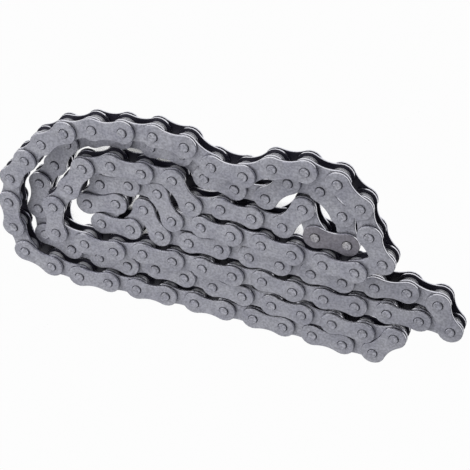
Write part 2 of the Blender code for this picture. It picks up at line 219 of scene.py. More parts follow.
class ChainStudio(bpy.types.PropertyGroup):
    fill: bpy.props.FloatProperty(
        name="Fill", description="Strength of the soft light from all round", default=0.3,
        min=0.0,
    )
    key: bpy.props.FloatProperty(
        name="Key", description="Power of the large lamp on the left, in watts", default=2.2,
        min=0.0,
    )
    top: bpy.props.FloatProperty(
        name="Top", description="Power of the large lamp above the far side, in watts", default=1.8,
        min=0.0,
    )
    rim: bpy.props.FloatProperty(
        name="Rim", description="Power of the low lamp on the near side, in watts", default=2.7,
        min=0.0,
    )
    lens: bpy.props.FloatProperty(
        name="Lens", description="Focal length of the camera, in millimetres", default=106.2555,
        min=1.0,
    )
    place: bpy.props.FloatVectorProperty(
        name="Camera place", description="Where the camera stands", size=3,
        default=(0.13297, 0.31676, 0.431872), subtype="TRANSLATION", unit="LENGTH",
    )
    turn: bpy.props.FloatVectorProperty(
        name="Camera turn", description="How the camera is turned", size=3,
        default=[math.radians(a) for a in (-34.5866, 19.6232, 3.8069)], subtype="EULER",
        unit="ROTATION",
    )


# Laying the links along the route, as the frame has them

def at_each_pin(points, column):
    numbers = [point[0] for point in points] + [points[0][0] + LINKS]
    values = [point[column] for point in points] + [points[0][column]]
    return np.interp(np.arange(LINKS), numbers, values)


def smoothed(values):
    for _ in range(HEIGHT_SMOOTHING):
        values = (np.roll(values, 1) + 2 * values + np.roll(values, -1)) / 4
    return values


def pull_to_pitch(pins):
    step = np.roll(pins, -1, axis=0) - pins
    distance = np.linalg.norm(step, axis=1, keepdims=True)
    step *= (distance - PITCH) / distance / 2
    pins[:, :2] += (step - np.roll(step, 1, axis=0))[:, :2]


def push_apart(pins, one, two, ahead, clearance):
    following = (two + 1) % LINKS
    spot = pins[two] * (1 - ahead) + pins[following] * ahead
    away = pins[one] - spot
    distance = np.linalg.norm(away[:, :2], axis=1)
    stacked = np.abs(away[:, 2]) > ROWS_STACK_AT
    missing = np.maximum(np.where(stacked, STACKED_CLEARANCE, clearance) - distance, 0)
    push = away[:, :2] * (missing / distance / 4)[:, None]
    sideways = [[0, 1]]
    np.add.at(pins, (one[:, None], sideways), push)
    np.add.at(pins, (two[:, None], sideways), -push * (1 - ahead))
    np.add.at(pins, (following[:, None], sideways), -push * ahead)


def lay_pins():
    """The middle of each pin, with an exact pitch and with clearance between the rows."""
    pins = np.stack(
        [at_each_pin(ROUTE, 1), at_each_pin(ROUTE, 2), smoothed(at_each_pin(HEIGHTS, 1))],
        axis=1,
    )
    number = np.arange(LINKS)
    apart = np.abs(number[:, None] - number[None, :])
    apart = np.minimum(apart, LINKS - apart)
    near = np.linalg.norm(pins[:, None, :2] - pins[None, :, :2], axis=2) < NEIGHBOURHOOD
    free = np.isin(number, TOP_RUN)
    free_pair = free[:, None] | free[None, :]
    next_but_one = np.where(apart == 2)
    strangers = np.where((apart > 2) & near)
    nested = np.where((apart > 2) & near & ~free_pair)
    beside_free = np.where((apart > 2) & near & free_pair)
    for _ in range(SETTLING_TURNS):
        pull_to_pitch(pins)
        push_apart(pins, *next_but_one, 0, PIN_CLEARANCE)
        push_apart(pins, *strangers, 0, PIN_CLEARANCE)
        push_apart(pins, *nested, 0.5, WAIST_CLEARANCE)
        push_apart(pins, *beside_free, 0.5, PIN_CLEARANCE)
    return pins


def link_directions(pins):
    ahead = np.roll(pins, -1, axis=0) - pins
    ahead /= np.linalg.norm(ahead, axis=1, keepdims=True)
    up = np.tile([0.0, 0.0, 1.0], (LINKS, 1))
    for _ in range(NORMAL_TURNS):
        up = np.roll(up, 1, axis=0) + np.roll(up, -1, axis=0) + [0.0, 0.0, UPRIGHT_PULL]
        up -= ahead * (up * ahead).sum(axis=1, keepdims=True)
        up /= np.linalg.norm(up, axis=1, keepdims=True)
    return ahead, up


def place_links():
    """Each link's place in metres: its middle, with X ahead along the link and Z along its pins."""
    pins = lay_pins()
    low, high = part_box("top_run_02_near_roller")
    pins += np.array((low + high) / 2) / MM - pins[TOP_RUN[1] + 1]
    ahead, up = link_directions(pins)
    middles = (pins + np.roll(pins, -1, axis=0)) / 2 * MM
    places = []
    for link in range(LINKS):
        across = np.cross(up[link], ahead[link])
        across /= np.linalg.norm(across)
        along = np.cross(across, up[link])
        rows = np.stack([along, across, up[link], middles[link]], axis=1).tolist()
        places.append(Matrix(rows + [[0.0, 0.0, 0.0, 1.0]]))
    return places


PLACES = place_links()
HALF_PITCH = PITCH / 2 * MM


# Editing by hand

def deselect():
    if bpy.context.mode != "OBJECT":
        bpy.ops.object.mode_set(mode="OBJECT")
    bpy.ops.object.select_all(action="DESELECT")


def start(adder, **settings):
    """Adds a primitive with nothing else selected, and opens it for editing."""
    deselect()
    adder(**settings)
    bpy.ops.object.transform_apply(location=True, rotation=True, scale=True)
    bpy.ops.object.mode_set(mode="EDIT")
    bpy.ops.mesh.select_all(action="SELECT")
    return bpy.context.object


def pick(kind, wanted):
    """Selects only the faces or edges of the open mesh that pass the test."""
    bpy.ops.mesh.select_mode(type=kind)
    bpy.ops.mesh.select_all(action="DESELECT")
    mesh = bpy.context.object.data
    shape = bmesh.from_edit_mesh(mesh)
    for element in shape.faces if kind == "FACE" else shape.edges:
        if wanted(element):
            element.select_set(True)
    shape.select_flush_mode()
    bmesh.update_edit_mesh(mesh)


def middle_of(edge):
    return (edge.verts[0].co + edge.verts[1].co) / 2


def finish_shape(name):
    """Closes the mesh, turns its faces outwards and smooths its rounds."""
    bpy.ops.mesh.select_all(action="SELECT")
    bpy.ops.mesh.normals_make_consistent(inside=False)
    bpy.ops.object.mode_set(mode="OBJECT")
    bpy.ops.object.shade_smooth_by_angle(angle=SMOOTH_BELOW)
    shape = bpy.context.object
    shape.name = name
    return shape


def apply_modifier(shape, kind, **settings):
    deselect()
    shape.select_set(True)
    bpy.context.view_layer.objects.active = shape
    bpy.ops.object.modifier_add(type=kind)
    modifier = shape.modifiers[-1]
    for name, value in settings.items():
        setattr(modifier, name, value)
    bpy.ops.object.modifier_apply(modifier=modifier.name)


def remove(thing):
    mesh = thing.data
    bpy.data.objects.remove(thing)
    bpy.data.meshes.remove(mesh)


# Shapes, each modelled once around the middle of a link or the axis of a pin

def waist_stations(lobe, waist):
    """(x, half height) where a hollow arc leaves the lobe, and on to the plate's middle."""
    arc = (HALF_PITCH ** 2 + waist ** 2 - lobe ** 2) / (2 * (lobe - waist))
    reach = HALF_PITCH * arc / (lobe + arc)
    stations = []
    for step in range(WAIST_STEPS + 1):
        x = reach * (1 - step / WAIST_STEPS)
        stations.append((x, waist + arc - math.sqrt(arc ** 2 - x ** 2)))
    return stations


def half_plate(lobe, waist):
    """One lobe cut from a disc and drawn in to the plate's middle, flat on the floor."""
    half = start(
        bpy.ops.mesh.primitive_circle_add, vertices=LOBE_SIDES, radius=lobe, fill_type="NGON",
        location=(HALF_PITCH, 0.0, 0.0),
    )
    stations = waist_stations(lobe, waist)
    cut = stations[0][0]
    bpy.ops.mesh.bisect(plane_co=(cut, 0.0, 0.0), plane_no=(1.0, 0.0, 0.0), clear_inner=True)
    pick("EDGE", lambda edge: all(abs(v.co.x - cut) < SAME for v in edge.verts))
    shape = bmesh.from_edit_mesh(half.data)
    height = max(v.co.y for v in shape.verts if abs(v.co.x - cut) < SAME)
    for (before, _), (x, wanted) in zip(stations, stations[1:]):
        bpy.ops.mesh.extrude_edges_move(TRANSFORM_OT_translate={"value": (x - before, 0.0, 0.0)})
        bpy.ops.transform.resize(value=(1.0, wanted / height, 1.0), center_override=(x, 0.0, 0.0))
        height = wanted
    return half


def model_plate(name, sizes, hole, lip):
    """A stamped plate on its inward side: hollow waist, rounded outward rim and two holes."""
    half = half_plate(sizes.lobe_radius, sizes.waist)
    apply_modifier(half, "MIRROR", use_clip=True, merge_threshold=SAME)
    bpy.ops.object.mode_set(mode="EDIT")
    bpy.ops.mesh.select_all(action="SELECT")
    bpy.ops.mesh.dissolve_faces()
    thick = sizes.plate_thickness
    for rise in (sizes.torn_wall, thick - sizes.torn_wall):
        bpy.ops.mesh.extrude_region_move(TRANSFORM_OT_translate={"value": (0.0, 0.0, rise)})
    pick("EDGE", lambda edge: all(v.co.z > thick * OUTERMOST for v in edge.verts))
    bpy.ops.mesh.bevel(offset=sizes.plate_rim, segments=1, affect="EDGES")
    bpy.ops.mesh.select_all(action="SELECT")
    bpy.ops.mesh.normals_make_consistent(inside=False)
    cutter = start(
        bpy.ops.mesh.primitive_cylinder_add, vertices=PIN_SIDES, radius=hole, depth=4 * thick,
        location=(HALF_PITCH, 0.0, 0.0),
    )
    bpy.ops.mesh.duplicate_move(TRANSFORM_OT_translate={"value": (-2 * HALF_PITCH, 0.0, 0.0)})
    apply_modifier(half, "BOOLEAN", operation="DIFFERENCE", solver="EXACT", object=cutter)
    remove(cutter)
    bpy.ops.object.mode_set(mode="EDIT")
    if lip:
        pick("EDGE", lambda edge: on_hole_edge(edge, hole, thick))
        bpy.ops.mesh.bevel(offset=lip, segments=1, affect="EDGES")
    return finish_shape(name)


def on_hole_edge(edge, hole, height):
    """True for an edge that runs around a hole at that height."""
    for vert in edge.verts:
        x = abs(vert.co.x) - HALF_PITCH
        if abs(math.hypot(x, vert.co.y) - hole) > SAME or abs(vert.co.z - height) > SAME:
            return False
    return True


def is_end(face):
    return abs(face.normal.z) > OUTERMOST


# How much of a pin end's inner disc the riveting punch presses in
PRESSED_WIDTH = 0.9
# The edge of a bushing is only broken, not rounded, by this much
BUSHING_RIM = 0.1 * MM


def model_pin(name, sizes, end):
    """A pin with rounded ends, spread by riveting: a ring around a slightly pressed middle."""
    start(
        bpy.ops.mesh.primitive_cylinder_add, vertices=PIN_SIDES, radius=sizes.pin_radius,
        depth=2 * end,
    )
    pick("EDGE", lambda edge: abs(middle_of(edge).z) > end * OUTERMOST)
    bpy.ops.mesh.bevel(offset=sizes.pin_rim, segments=1, affect="EDGES")
    pick("FACE", is_end)
    bpy.ops.mesh.inset(thickness=sizes.rivet_ring)
    pressed = 1 - sizes.rivet_depth / end
    bpy.ops.transform.resize(
        value=(PRESSED_WIDTH, PRESSED_WIDTH, pressed), center_override=(0.0, 0.0, 0.0),
    )
    return finish_shape(name)


def model_tube(name, sides, radius, wall, end, rim):
    """A bored cylinder with rounded outer edges, such as a bushing or a roller."""
    start(bpy.ops.mesh.primitive_cylinder_add, vertices=sides, radius=radius, depth=2 * end)
    pick("FACE", is_end)
    bpy.ops.mesh.inset(thickness=wall)
    bpy.ops.mesh.bridge_edge_loops()
    pick(
        "EDGE",
        lambda edge: abs(middle_of(edge).z) > end * OUTERMOST
        and all(math.hypot(v.co.x, v.co.y) > radius * OUTERMOST for v in edge.verts),
    )
    bpy.ops.mesh.bevel(offset=rim, segments=2, affect="EDGES")
    return finish_shape(name)


# Copies

def copied(shape, name, places):
    """One new object that holds a copy of the shape at each place."""
    copies = []
    for place in places:
        copy = bpy.data.objects.new(name, shape.data.copy())
        copy.data.transform(place)
        bpy.context.scene.collection.objects.link(copy)
        copies.append(copy)
    deselect()
    for copy in copies:
        copy.select_set(True)
    bpy.context.view_layer.objects.active = copies[0]
    if len(copies) > 1:
        bpy.ops.object.join()
    joined = bpy.context.view_layer.objects.active
    joined.name = name
    joined.data.name = name
    return joined


def shifted(x=0.0, z=0.0, over=False):
    """A place on the link's own axes. `over` turns the shape upside down."""
    turn = Matrix.Rotation(math.pi, 4, "X") if over else Matrix()
    return Matrix.Translation((x, 0.0, z)) @ turn


def both_sides(z):
    """An upper place and a lower one, for a plate whose inward side is at that height."""
    return [shifted(z=z), shifted(z=-z, over=True)]


BOTH_ENDS = [shifted(x=-HALF_PITCH), shifted(x=HALF_PITCH)]


def heights(sizes):
    """(inner plate, outer plate, pin end): how far each begins from the chain's middle."""
    inner = sizes.inner_width / 2
    outer = inner + sizes.plate_thickness + sizes.plate_gap
    return inner, outer, outer + sizes.plate_thickness + sizes.pin_proud


def link_groups():
    """Each group of links that moves as one: (name, body, its frame nodes, its links)."""
    for name, first, last in PILE_RUNS:
        links = [link % LINKS for link in range(first, last + 1)]
        yield name, "pile", ["pile_" + name], links
    for count, link in enumerate(TOP_RUN, start=1):
        label = f"top_run_{count:02d}"
        kind = "_inner_link" if link % 2 else "_outer_link"
        nodes = [] if link == OPEN_PIN else [label + kind]
        yield label, label, nodes, [link]


def scatter(shape, kind, material, odd, spots):
    """Copies a shape to its spots on every outer or every inner link, one piece for each group."""
    for name, body, nodes, links in link_groups():
        places = [PLACES[n] @ spot for n in links if n % 2 == odd for spot in spots]
        if not places or not nodes:
            continue
        piece = copied(shape, f"{name}_{kind}", places)
        settle(piece, body, material, nodes)
    remove(shape)


def settle(piece, body, material, nodes):
    """Gives a piece its material and its body, and hides the plain nodes that it stands for."""
    if material:
        piece.data.materials.append(material)
    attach(piece, body)
    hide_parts(*nodes)


# Finishes

# How much smoother and rougher than its mean a steel gets from grain to grain
SMOOTHER = 0.1
ROUGHER = 0.12
BUMP_STRENGTH = 0.5
# What a thin film of oil leaves of the colour below it
OIL_TINT = (0.77, 0.77, 0.81, 1.0)


def add_node(tree, kind, settings=None, inputs=None):
    """Adds a node, sets its properties, and gives each named input a value or a link."""
    node = tree.nodes.new(kind)
    for name, value in (settings or {}).items():
        setattr(node, name, value)
    for name, value in (inputs or {}).items():
        if isinstance(value, bpy.types.NodeSocket):
            tree.links.new(value, node.inputs[name])
        else:
            node.inputs[name].default_value = value
    return node


def steel(name, colour, metallic, roughness, grain_mm, depth_mm, contrast=0.1, clouds_mm=7.0,
          stretch=(1.0, 1.0, 1.0)):
    """A steel whose colour and gloss vary with a fine grain and with broad faint clouds."""
    rgb = getattr(bpy.context.scene.chain_colours, colour)
    material = bpy.data.materials.new(name)
    material.use_nodes = True
    tree = material.node_tree
    tree.nodes.clear()
    spot = add_node(tree, "ShaderNodeTexCoord").outputs["Object"]
    drawn = add_node(tree, "ShaderNodeMapping", inputs={"Vector": spot, "Scale": stretch})
    fine = add_node(
        tree, "ShaderNodeTexNoise",
        inputs={
            "Vector": drawn.outputs["Vector"], "Scale": 1 / (grain_mm * MM), "Detail": 3.0,
        },
    ).outputs["Fac"]
    broad = add_node(
        tree, "ShaderNodeTexNoise",
        inputs={"Vector": spot, "Scale": 1 / (clouds_mm * MM), "Detail": 2.0},
    ).outputs["Fac"]
    speckle = add_node(
        tree, "ShaderNodeMapRange", inputs={"Value": fine, "From Min": 0.35, "From Max": 0.65},
    ).outputs["Result"]
    clouds = add_node(
        tree, "ShaderNodeMapRange", inputs={"Value": broad, "From Min": 0.3, "From Max": 0.7},
    ).outputs["Result"]
    gloss = add_node(
        tree, "ShaderNodeMapRange",
        inputs={
            "Value": fine, "To Min": roughness - SMOOTHER, "To Max": roughness + ROUGHER,
        },
    ).outputs["Result"]
    # A colour Mix's input 0 is its share, and inputs 6 and 7 are its two colours
    speckled = add_node(
        tree, "ShaderNodeMix", {"data_type": "RGBA"},
        {0: speckle, 6: shade(rgb, 1 - contrast), 7: shade(rgb, 1 + contrast)},
    ).outputs[2]
    film = add_node(
        tree, "ShaderNodeMix", {"data_type": "RGBA", "blend_type": "MULTIPLY"},
        {0: clouds, 6: speckled, 7: OIL_TINT},
    ).outputs[2]
    bump = add_node(
        tree, "ShaderNodeBump",
        inputs={"Height": fine, "Strength": BUMP_STRENGTH, "Distance": depth_mm * MM},
    )
    shader = add_node(
        tree, "ShaderNodeBsdfPrincipled",
        inputs={
            "Base Color": film, "Metallic": metallic, "Roughness": gloss,
            "Normal": bump.outputs["Normal"],
        },
    )
    add_node(
        tree, "ShaderNodeOutputMaterial", inputs={"Surface": shader.outputs["BSDF"]},
    )
    return material


def shade(rgb, share):
    """The colour made lighter or darker by a share, with its alpha."""
    return (*(min(1.0, value * share) for value in rgb), 1.0)


# The chain's finishes. Each names its colour in the sidebar
FINISHES = {
    # Carbon steel, stamped and shot-peened: matt, even and pitted all over. The pits are
    # drawn several times as coarse as real ones, so that they show
    "peened_plate": {
        "colour": "plate", "metallic": 0.35, "roughness": 0.5, "grain_mm": 0.9,
        "depth_mm": 0.08, "contrast": 0.24,
    },
    # The same steel where the punch cuts it: smooth and bright, so that it mirrors the floor
    "cut_edge": {
        "colour": "plate_edge", "metallic": 0.95, "roughness": 0.28, "grain_mm": 0.5,
        "depth_mm": 0.003, "contrast": 0.05,
    },
    # The rest of the wall, where the sheet tears off, and the side that faces the rollers:
    # both are rough, with a film of oil, and near black as painted shade for the gaps between
    # plates
    "torn_wall": {
        "colour": "wall", "metallic": 0.1, "roughness": 0.55, "grain_mm": 0.6, "depth_mm": 0.02,
    },
    # Cut and riveted pin ends, hammered a little uneven
    "riveted_pin": {
        "colour": "pin", "metallic": 0.35, "roughness": 0.45, "grain_mm": 0.8,
        "depth_mm": 0.12, "contrast": 0.36, "clouds_mm": 3.0,
    },
    # Ground and tumbled rollers, with faint rings from turning
    "ground_roller": {
        "colour": "roller", "metallic": 0.4, "roughness": 0.25, "grain_mm": 0.5,
        "depth_mm": 0.004, "contrast": 0.08, "clouds_mm": 5.0, "stretch": (0.25, 0.25, 4.0),
    },
    # Rolled bushings inside the rollers, wet with oil, and dark grey as painted shade in the gaps
    "oiled_bushing": {
        "colour": "bushing", "metallic": 0.8, "roughness": 0.4, "grain_mm": 0.4,
        "depth_mm": 0.01,
    },
    # Plates of the connecting link, blued by heat to a warmer and darker grey
    "blued_plate": {
        "colour": "blued", "metallic": 0.35, "roughness": 0.5, "grain_mm": 0.9,
        "depth_mm": 0.07, "contrast": 0.2,
    },
    # Its pin ends, filed by hand and so brighter and rougher
    "filed_pin": {
        "colour": "clip_pin", "metallic": 0.5, "roughness": 0.4, "grain_mm": 0.6,
        "depth_mm": 0.25, "contrast": 0.55, "clouds_mm": 3.0,
    },
    # Hardened spring steel, bright from polishing before it is hardened
    "spring_steel": {
        "colour": "clip", "metallic": 0.9, "roughness": 0.3, "grain_mm": 0.4,
        "depth_mm": 0.01, "contrast": 0.1, "clouds_mm": 4.0,
    },
}


def finish_named(name):
    """One of the finishes, made when it is first asked for."""
    if name not in bpy.data.materials:
        steel(name, **FINISHES[name])
    return bpy.data.materials[name]


def edge_faces(shape, hole, torn_wall):
    """Gives a plate's cut wall its second finish, and its other hidden sides the third, whose near
    black is painted shade.
    """
    for face in shape.data.polygons:
        x = abs(face.center.x) - HALF_PITCH
        near_hole = math.hypot(x, face.center.y) < hole * NEAR_HOLE
        outward = face.normal.z > FLAT
        if face.normal.z < -FLAT or (near_hole and not outward):
            face.material_index = 2
        elif abs(face.normal.z) < UPRIGHT:
            face.material_index = 2 if face.center.z < torn_wall else 1


def plated(name, sizes, hole, lip, face_finish):
    """A plate with its three finishes: on its faces, on its cut wall and on its torn wall."""
    shape = model_plate(name, sizes, hole, lip)
    for finish in (face_finish, "cut_edge", "torn_wall"):
        shape.data.materials.append(finish_named(finish))
    edge_faces(shape, hole, sizes.torn_wall)
    return shape


# How close to the chain something has to stand to darken the floor with painted shade, in metres,
# and how much of the sky a spot of floor sees where it is darkest and from where it is white
GAP_REACH = 0.018
DARK_BELOW = 0.07
WHITE_FROM = 0.105
# The share of plain white in the open floor. The rest is paper, which takes the shadow
FLOOR_WHITE = 0.98


# Operators

class CHAIN_OT_outer_plates(bpy.types.Operator):
    """Models one outer plate and puts a copy on each side of every outer link"""

    bl_idname = "chain.outer_plates"
    bl_label = "Outer Plates"

    def execute(self, context):
        sizes = context.scene.chain_sizes
        outer = heights(sizes)[1]
        shape = plated("outer_plate", sizes, sizes.pin_radius, sizes.hole_lip, "peened_plate")
        scatter(shape, "outer_plates", None, 0, both_sides(outer))
        return {"FINISHED"}


class CHAIN_OT_inner_plates(bpy.types.Operator):
    """Models one inner plate and puts a copy on each side of every inner link"""

    bl_idname = "chain.inner_plates"
    bl_label = "Inner Plates"

    def execute(self, context):
        sizes = context.scene.chain_sizes
        inner = heights(sizes)[0]
        shape = plated("inner_plate", sizes, sizes.bushing_radius, 0.0, "peened_plate")
        scatter(shape, "inner_plates", None, 1, both_sides(inner))
        return {"FINISHED"}


class CHAIN_OT_pins(bpy.types.Operator):
    """Models one riveted pin and puts a copy at both ends of every outer link"""

    bl_idname = "chain.pins"
    bl_label = "Pins"

    def execute(self, context):
        sizes = context.scene.chain_sizes
        shape = model_pin("riveted_pin_shape", sizes, heights(sizes)[2])
        scatter(shape, "pins", finish_named("riveted_pin"), 0, BOTH_ENDS)
        return {"FINISHED"}


class CHAIN_OT_bushings(bpy.types.Operator):
    """Models one bushing and puts a copy at both ends of every inner link"""

    bl_idname = "chain.bushings"
    bl_label = "Bushings"

    def execute(self, context):
        sizes = context.scene.chain_sizes
        end = heights(sizes)[0] + sizes.plate_thickness
        shape = model_tube(
            "bushing_shape", BUSHING_SIDES, sizes.bushing_radius, sizes.bushing_wall, end,
            BUSHING_RIM,
        )
        scatter(shape, "bushings", finish_named("oiled_bushing"), 1, BOTH_ENDS)
        return {"FINISHED"}


class CHAIN_OT_rollers(bpy.types.Operator):
    """Models one roller and puts a copy on every bushing"""

    bl_idname = "chain.rollers"
    bl_label = "Rollers"

    def execute(self, context):
        sizes = context.scene.chain_sizes
        shape = model_tube(
            "roller_shape", ROLLER_SIDES, sizes.roller_radius, sizes.roller_wall,
            sizes.inner_width / 2 - sizes.roller_gap, sizes.roller_rim,
        )
        finish = finish_named("ground_roller")
        for name, body, nodes, links in link_groups():
            inner = [n for n in links if n % 2]
            if body == "pile":
                places = [PLACES[n] @ spot for n in inner for spot in BOTH_ENDS]
                piece = copied(shape, name + "_rollers", places)
                settle(piece, body, finish, nodes)
                continue
            for link in inner:
                for end, spot in zip(("near", "far"), reversed(BOTH_ENDS)):
                    node = f"{body}_{end}_roller"
                    piece = copied(shape, f"{body}_roller_{end}", [PLACES[link] @ spot])
                    settle(piece, node, finish, [node])
        remove(shape)
        return {"FINISHED"}


class CHAIN_OT_open_link(bpy.types.Operator):
    """Models the last link of the top run, where the loop is open and one pin is cut back"""

    bl_idname = "chain.open_link"
    bl_label = "Open Link"

    def execute(self, context):
        sizes = context.scene.chain_sizes
        outer, end = heights(sizes)[1:]
        place = PLACES[OPEN_PIN]
        label = f"top_run_{len(TOP_RUN):02d}"
        plate = plated("open_plate", sizes, sizes.pin_radius, sizes.hole_lip, "peened_plate")
        for side, spot in zip(("upper", "lower"), both_sides(outer)):
            piece = copied(plate, f"{label}_plate_{side}", [place @ spot])
            node = f"{label}_{side}_outer_plate"
            settle(piece, label, None, [node])
        remove(plate)
        pin = model_pin("open_pin", sizes, end)
        riveted = finish_named("riveted_pin")
        piece = copied(pin, label + "_riveted_pin", [place @ BOTH_ENDS[1]])
        settle(piece, label, riveted, [label + "_pin"])
        stub = cut_pin(pin, outer)
        for side, over in (("upper", False), ("lower", True)):
            spot = place @ BOTH_ENDS[0] @ shifted(over=over)
            piece = copied(stub, f"{label}_pin_end_{side}", [spot])
            settle(piece, label, riveted, [f"{label}_{side}_pin_end"])
        remove(stub)
        return {"FINISHED"}


def cut_pin(pin, height):
    """Leaves only the end of the pin above that height, closed below."""
    deselect()
    pin.select_set(True)
    bpy.context.view_layer.objects.active = pin
    bpy.ops.object.mode_set(mode="EDIT")
    bpy.ops.mesh.select_all(action="SELECT")
    bpy.ops.mesh.bisect(
        plane_co=(0.0, 0.0, height), plane_no=(0.0, 0.0, 1.0), clear_inner=True, use_fill=True,
    )
    return finish_shape("pin_end")


class CHAIN_OT_connecting_link(bpy.types.Operator):
    """Models the connecting link: a plate with two grooved pins, a cover plate and a clip"""

    bl_idname = "chain.connecting_link"
    bl_label = "Connecting Link"

    def execute(self, context):
        sizes = context.scene.chain_sizes
        outer, end = heights(sizes)[1:]
        place = PLACES[CONNECTING_LINK]
        label = "connecting_link"
        plate = plated("connecting_plate", sizes, sizes.pin_radius, sizes.hole_lip, "blued_plate")
        for side, spot in zip(("base", "cover"), both_sides(outer)):
            piece = copied(plate, f"{label}_{side}", [place @ spot])
            node = f"{label}_{side}_plate"
            settle(piece, "pile", None, [node])
        remove(plate)
        clip_top = -outer - sizes.plate_thickness - sizes.clip_gap
        pin = model_clip_pin("clip_pin", sizes, end, clip_top)
        for side, spot in zip(("left", "right"), BOTH_ENDS):
            piece = copied(pin, f"{label}_{side}_grooved_pin", [place @ spot])
            node = f"{label}_{side}_pin"
            settle(piece, "pile", finish_named("filed_pin"), [node])
        remove(pin)
        clip = model_clip("clip_shape", sizes, clip_top)
        piece = copied(clip, label + "_clip", [place])
        node = label + "_spring_clip"
        settle(piece, "pile", finish_named("spring_steel"), [node])
        remove(clip)
        return {"FINISHED"}


# How far a grooved pin goes on below its groove
GROOVED_PIN_TIP = 0.5 * MM
# Play between the clip and the bottom of the grooves
CLIP_PLAY = 0.1 * MM
# The clip's width as a share of its width just before: it is drawn in at its middle and at the
# prongs' tips, and widens between them where the prongs grip the pin
CLIP_NARROWS = 0.86
CLIP_WIDENS = 1.12
# How far the prongs go on past the pin's axis, and how wide they stand, in groove radii, and how
# long the opening between them is, in half pitches
PRONG_REACH = 1.3
PRONG_OPENING = 1.4
OPENING_LENGTH = 2.4


def model_clip_pin(name, sizes, end, clip_top):
    """A pin with a riveted upper end, and a groove near its lower end for the spring clip."""
    start(
        bpy.ops.mesh.primitive_cylinder_add, vertices=PIN_SIDES, radius=sizes.pin_radius,
        depth=2 * end,
    )
    pick("FACE", lambda face: face.normal.z < -OUTERMOST)
    groove_top = clip_top + sizes.clip_gap / 2
    groove_low = groove_top - sizes.clip_thickness - sizes.clip_gap
    narrow = 1 - sizes.groove_depth / sizes.pin_radius
    bpy.ops.transform.translate(value=(0.0, 0.0, groove_top + end))
    for drop, share in (
        (0.0, narrow), (groove_low - groove_top, 1.0), (0.0, 1 / narrow),
        (-GROOVED_PIN_TIP, 1.0),
    ):
        bpy.ops.mesh.extrude_region_move(TRANSFORM_OT_translate={"value": (0.0, 0.0, drop)})
        middle = (0.0, 0.0, 0.0)
        bpy.ops.transform.resize(value=(share, share, 1.0), center_override=middle)
    pick("EDGE", lambda edge: middle_of(edge).z > end * OUTERMOST)
    bpy.ops.mesh.bevel(offset=sizes.pin_rim, segments=1, affect="EDGES")
    pick("FACE", lambda face: face.normal.z > OUTERMOST)
    bpy.ops.mesh.inset(thickness=sizes.rivet_ring)
    bpy.ops.transform.translate(value=(0.0, 0.0, -sizes.rivet_depth))
    return finish_shape(name)


def model_clip(name, sizes, top):
    """A flat spring: a closed eye around one pin's groove and two prongs past the other's."""
    half = sizes.clip_half_width
    slot = sizes.pin_radius - sizes.groove_depth + CLIP_PLAY
    tip = HALF_PITCH + slot * PRONG_REACH
    clip = start(
        bpy.ops.mesh.primitive_circle_add, vertices=ROLLER_SIDES, radius=half, fill_type="NGON",
        location=(-HALF_PITCH, 0.0, top),
    )
    bpy.ops.mesh.bisect(
        plane_co=(-HALF_PITCH, 0.0, 0.0), plane_no=(1.0, 0.0, 0.0), clear_outer=True,
    )
    reached = -HALF_PITCH
    for x, share in ((0.0, CLIP_NARROWS), (HALF_PITCH, CLIP_WIDENS), (tip, CLIP_NARROWS)):
        pick("EDGE", lambda edge: all(abs(v.co.x - reached) < SAME for v in edge.verts))
        bpy.ops.mesh.extrude_edges_move(TRANSFORM_OT_translate={"value": (x - reached, 0.0, 0.0)})
        bpy.ops.transform.resize(value=(1.0, share, 1.0), center_override=(x, 0.0, 0.0))
        reached = x
    bpy.ops.mesh.select_all(action="SELECT")
    bpy.ops.mesh.dissolve_faces()
    drop = (0.0, 0.0, -sizes.clip_thickness)
    bpy.ops.mesh.extrude_region_move(TRANSFORM_OT_translate={"value": drop})
    bpy.ops.mesh.select_all(action="SELECT")
    bpy.ops.mesh.normals_make_consistent(inside=False)
    deep = 4 * sizes.clip_thickness
    eyes = []
    for x in (-HALF_PITCH, HALF_PITCH):
        eyes.append(start(
            bpy.ops.mesh.primitive_cylinder_add, vertices=PIN_SIDES, radius=slot, depth=deep,
            location=(x, 0.0, top),
        ))
    opening = start(bpy.ops.mesh.primitive_cube_add, size=1.0, location=(HALF_PITCH, 0.0, top))
    bpy.ops.transform.resize(
        value=(OPENING_LENGTH * HALF_PITCH, PRONG_OPENING * slot, deep),
        center_override=(HALF_PITCH, 0.0, top),
    )
    for cutter in eyes + [opening]:
        apply_modifier(clip, "BOOLEAN", operation="DIFFERENCE", solver="EXACT", object=cutter)
        remove(cutter)
    bpy.ops.object.mode_set(mode="EDIT")
    return finish_shape(name)


class CHAIN_OT_studio(bpy.types.Operator):
    """Sets a white floor, three large lamps, a soft fill and the camera"""

    bl_idname = "chain.studio"
    bl_label = "Studio"

    def execute(self, context):
        studio = context.scene.chain_studio
        lay_floor(context.scene.chain_colours.floor)
        light_world(studio.fill)
        # Each lamp's direction from the chain, its distance and width in metres, and its power
        for name, direction, distance, width, power in (
            ("key", (-0.72, 0.10, 0.52), 0.8, 0.35, studio.key),
            ("top", (-0.25, -0.60, 0.76), 0.9, 0.7, studio.top),
            ("rim", (-0.35, 0.80, 0.48), 0.8, 0.4, studio.rim),
        ):
            hang_lamp(name, Vector(direction), distance, width, power)
        stand_camera(studio)
        return {"FINISHED"}


def background_share(tree):
    """1 where the camera, or a mirrored or see-through ray, looks at the background."""
    path = add_node(tree, "ShaderNodeLightPath").outputs
    share = path["Is Camera Ray"]
    for name in ("Is Glossy Ray", "Is Transmission Ray"):
        node = add_node(tree, "ShaderNodeMath", {"operation": "MAXIMUM"})
        tree.links.new(share, node.inputs[0])
        tree.links.new(path[name], node.inputs[1])
        share = node.outputs[0]
    return share


